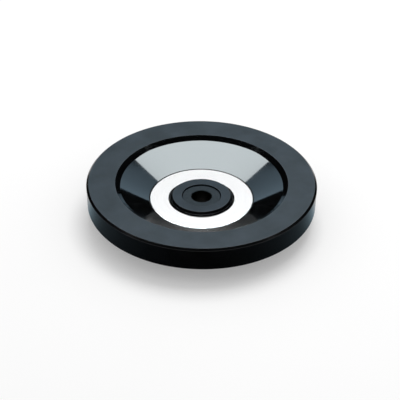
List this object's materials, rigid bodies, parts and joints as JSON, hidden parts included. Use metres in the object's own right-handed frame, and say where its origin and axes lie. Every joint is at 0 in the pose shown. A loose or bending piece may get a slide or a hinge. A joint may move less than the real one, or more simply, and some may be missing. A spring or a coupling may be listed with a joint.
{
  "type": "machine handwheel",
  "caption": "Solid disc handwheel in black phenolic with a dished web, flat ground rim, inset aluminium trim ring and a recessed steel hub insert with a plain round bore.",
  "frame": {"origin": "centre of the rear seat, where the back of the hub meets the shoulder of the shaft, on the bore's axis", "axes": "+Z along the bore, out of the front face towards the operator; X and Y span the wheel, which is round"},
  "size_m": [0.16, 0.16, 0.0293],
  "materials": {
    "phenolic": "polished black",
    "blackened_steel": "blackened, turned",
    "satin_aluminium": "satin anodised"
  },
  "bodies": {
    "root": {"wheel_body": "phenolic", "hub_insert": "blackened_steel", "trim_ring": "satin_aluminium"}
  },
  "joints": []
}
